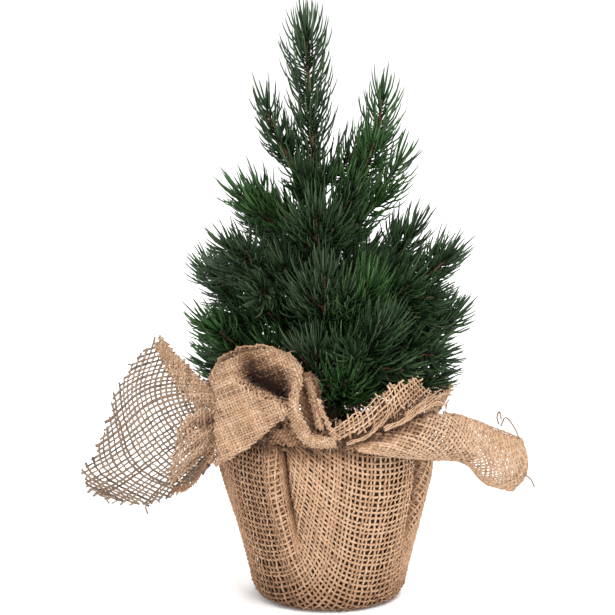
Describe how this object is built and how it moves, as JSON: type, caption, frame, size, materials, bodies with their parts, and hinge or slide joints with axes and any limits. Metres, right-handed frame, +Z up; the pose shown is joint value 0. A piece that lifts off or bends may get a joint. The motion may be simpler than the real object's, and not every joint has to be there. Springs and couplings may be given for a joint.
{
  "type": "artificial tabletop tree",
  "caption": "Small artificial spruce with bendable moulded branches on a wired trunk, in a weighted pot wrapped in a gathered square of hessian.",
  "frame": {"origin": "centre of the resting face under the pot, on the surface the tree stands on", "axes": "+Z up, -Y towards the front where the rolled corner of the cloth shows, +X to the right"},
  "size_m": [0.2207, 0.1439, 0.2926],
  "materials": {
    "burlap": "open plain weave jute",
    "tie": "twisted jute",
    "pot": "moulded",
    "cement": "cast",
    "bark": "moulded bark",
    "tape": "wound paper tape",
    "stem": "coated wire",
    "needles": "satin moulded"
  },
  "bodies": {
    "base": {"burlap_skirt": "burlap", "burlap_tail_left": "burlap", "burlap_roll_front": "burlap", "burlap_lip_front": "burlap", "burlap_flap_right": "burlap", "burlap_tail_right": "burlap", "burlap_flap_back": "burlap", "gather_tie": "tie", "pot": "pot", "cement_fill": "cement", "trunk": "bark", "trunk_tape_lower": "tape", "trunk_tape_middle": "tape", "trunk_tape_upper": "tape"},
    "leader": {"leader_stem": "stem", "leader_needles": "needles"},
    "upper_left": {"upper_left_stem": "stem", "upper_left_needles": "needles"},
    "upper_right": {"upper_right_stem": "stem", "upper_right_needles": "needles"},
    "top_front": {"top_front_stem": "stem", "top_front_needles": "needles"},
    "top_right": {"top_right_stem": "stem", "top_right_needles": "needles"},
    "high_left": {"high_left_stem": "stem", "high_left_needles": "needles"},
    "high_right": {"high_right_stem": "stem", "high_right_needles": "needles"},
    "shoulder_left": {"shoulder_left_stem": "stem", "shoulder_left_needles": "needles"},
    "shoulder_back": {"shoulder_back_stem": "stem", "shoulder_back_needles": "needles"},
    "middle_front": {"middle_front_stem": "stem", "middle_front_needles": "needles"},
    "middle_front_right": {"middle_front_right_stem": "stem", "middle_front_right_needles": "needles"},
    "middle_left": {"middle_left_stem": "stem", "middle_left_needles": "needles"},
    "middle_right": {"middle_right_stem": "stem", "middle_right_needles": "needles"},
    "middle_back": {"middle_back_stem": "stem", "middle_back_needles": "needles"},
    "front_right": {"front_right_stem": "stem", "front_right_needles": "needles"},
    "front_centre": {"front_centre_stem": "stem", "front_centre_needles": "needles"},
    "front_low": {"front_low_stem": "stem", "front_low_needles": "needles"},
    "low_left": {"low_left_stem": "stem", "low_left_needles": "needles"},
    "low_back_left": {"low_back_left_stem": "stem", "low_back_left_needles": "needles"},
    "low_right": {"low_right_stem": "stem", "low_right_needles": "needles"},
    "low_right_drooping": {"low_right_drooping_stem": "stem", "low_right_drooping_needles": "needles"},
    "low_back_right": {"low_back_right_stem": "stem", "low_back_right_needles": "needles"},
    "low_back": {"low_back_stem": "stem", "low_back_needles": "needles"}
  },
  "joints": [
    {"name": "leader_bend", "type": "hinge", "parent": "base", "child": "leader", "pos_m": [-0.007, 0, 0.2147], "axis": [0, 1, 0], "range_deg": [-8, 12]},
    {"name": "upper_left_bend", "type": "hinge", "parent": "base", "child": "upper_left", "pos_m": [-0.01237, 0.0002, 0.209], "axis": [0.0349, 0.9994, 0], "range_deg": [-12, 6]},
    {"name": "upper_right_bend", "type": "hinge", "parent": "base", "child": "upper_right", "pos_m": [0.00006, -0.0004, 0.19], "axis": [-0.0698, -0.9976, 0], "range_deg": [-12, 10]},
    {"name": "top_front_bend", "type": "hinge", "parent": "base", "child": "top_front", "pos_m": [-0.00483, -0.00596, 0.166], "axis": [-0.9976, 0.0698, 0], "range_deg": [-8, 12]},
    {"name": "top_right_bend", "type": "hinge", "parent": "base", "child": "top_right", "pos_m": [0.00067, 0.00279, 0.169], "axis": [0.4695, -0.8829, 0], "range_deg": [-8, 12]},
    {"name": "high_left_bend", "type": "hinge", "parent": "base", "child": "high_left", "pos_m": [-0.01088, -0.00082, 0.178], "axis": [-0.1392, 0.9903, 0], "range_deg": [-8, 12]},
    {"name": "high_right_bend", "type": "hinge", "parent": "base", "child": "high_right", "pos_m": [0.00264, 0.00231, 0.141], "axis": [0.3746, -0.9272, 0], "range_deg": [-8, 12]},
    {"name": "shoulder_left_bend", "type": "hinge", "parent": "base", "child": "shoulder_left", "pos_m": [-0.0086, -0.00341, 0.15], "axis": [-0.5592, 0.829, 0], "range_deg": [-8, 12]},
    {"name": "shoulder_back_bend", "type": "hinge", "parent": "base", "child": "shoulder_back", "pos_m": [-0.0074, 0.00479, 0.152], "axis": [0.788, 0.6157, 0], "range_deg": [-8, 12]},
    {"name": "middle_front_bend", "type": "hinge", "parent": "base", "child": "middle_front", "pos_m": [-0.00253, -0.00624, 0.131], "axis": [-1, 0, 0], "range_deg": [-10, 10]},
    {"name": "middle_front_right_bend", "type": "hinge", "parent": "base", "child": "middle_front_right", "pos_m": [0.00106, -0.00532, 0.126], "axis": [-0.848, -0.5299, 0], "range_deg": [-8, 12]},
    {"name": "middle_left_bend", "type": "hinge", "parent": "base", "child": "middle_left", "pos_m": [-0.00852, 0.00087, 0.127], "axis": [0.1392, 0.9903, 0], "range_deg": [-8, 12]},
    {"name": "middle_right_bend", "type": "hinge", "parent": "base", "child": "middle_right", "pos_m": [0.00324, -0.00108, 0.137], "axis": [-0.1736, -0.9848, 0], "range_deg": [-8, 12]},
    {"name": "middle_back_bend", "type": "hinge", "parent": "base", "child": "middle_back", "pos_m": [-0.00122, 0.00585, 0.142], "axis": [0.9511, -0.309, 0], "range_deg": [-8, 12]},
    {"name": "front_right_bend", "type": "hinge", "parent": "base", "child": "front_right", "pos_m": [0.00164, -0.00559, 0.111], "axis": [-0.8746, -0.4848, 0], "range_deg": [-8, 6]},
    {"name": "front_centre_bend", "type": "hinge", "parent": "base", "child": "front_centre", "pos_m": [-0.00224, -0.00634, 0.109], "axis": [-0.9903, 0.1392, 0], "range_deg": [-6, 8]},
    {"name": "front_low_bend", "type": "hinge", "parent": "base", "child": "front_low", "pos_m": [0.00049, -0.00637, 0.098], "axis": [-0.9816, -0.1908, 0], "range_deg": [-8, 6]},
    {"name": "low_left_bend", "type": "hinge", "parent": "base", "child": "low_left", "pos_m": [-0.0077, -0.00111, 0.11], "axis": [-0.1736, 0.9848, 0], "range_deg": [-8, 12]},
    {"name": "low_back_left_bend", "type": "hinge", "parent": "base", "child": "low_back_left", "pos_m": [-0.00687, 0.00243, 0.1], "axis": [0.3746, 0.9272, 0], "range_deg": [-8, 12]},
    {"name": "low_right_bend", "type": "hinge", "parent": "base", "child": "low_right", "pos_m": [0.00469, -0.00154, 0.112], "axis": [-0.2419, -0.9703, 0], "range_deg": [-8, 7]},
    {"name": "low_right_drooping_bend", "type": "hinge", "parent": "base", "child": "low_right_drooping", "pos_m": [0.00531, 0.0009, 0.104], "axis": [0.1392, -0.9903, 0], "range_deg": [-8, 12]},
    {"name": "low_back_right_bend", "type": "hinge", "parent": "base", "child": "low_back_right", "pos_m": [0.00316, 0.00462, 0.108], "axis": [0.7193, -0.6947, 0], "range_deg": [-8, 12]},
    {"name": "low_back_bend", "type": "hinge", "parent": "base", "child": "low_back", "pos_m": [-0.00266, 0.00628, 0.117], "axis": [0.9903, 0.1392, 0], "range_deg": [-8, 12]}
  ]
}
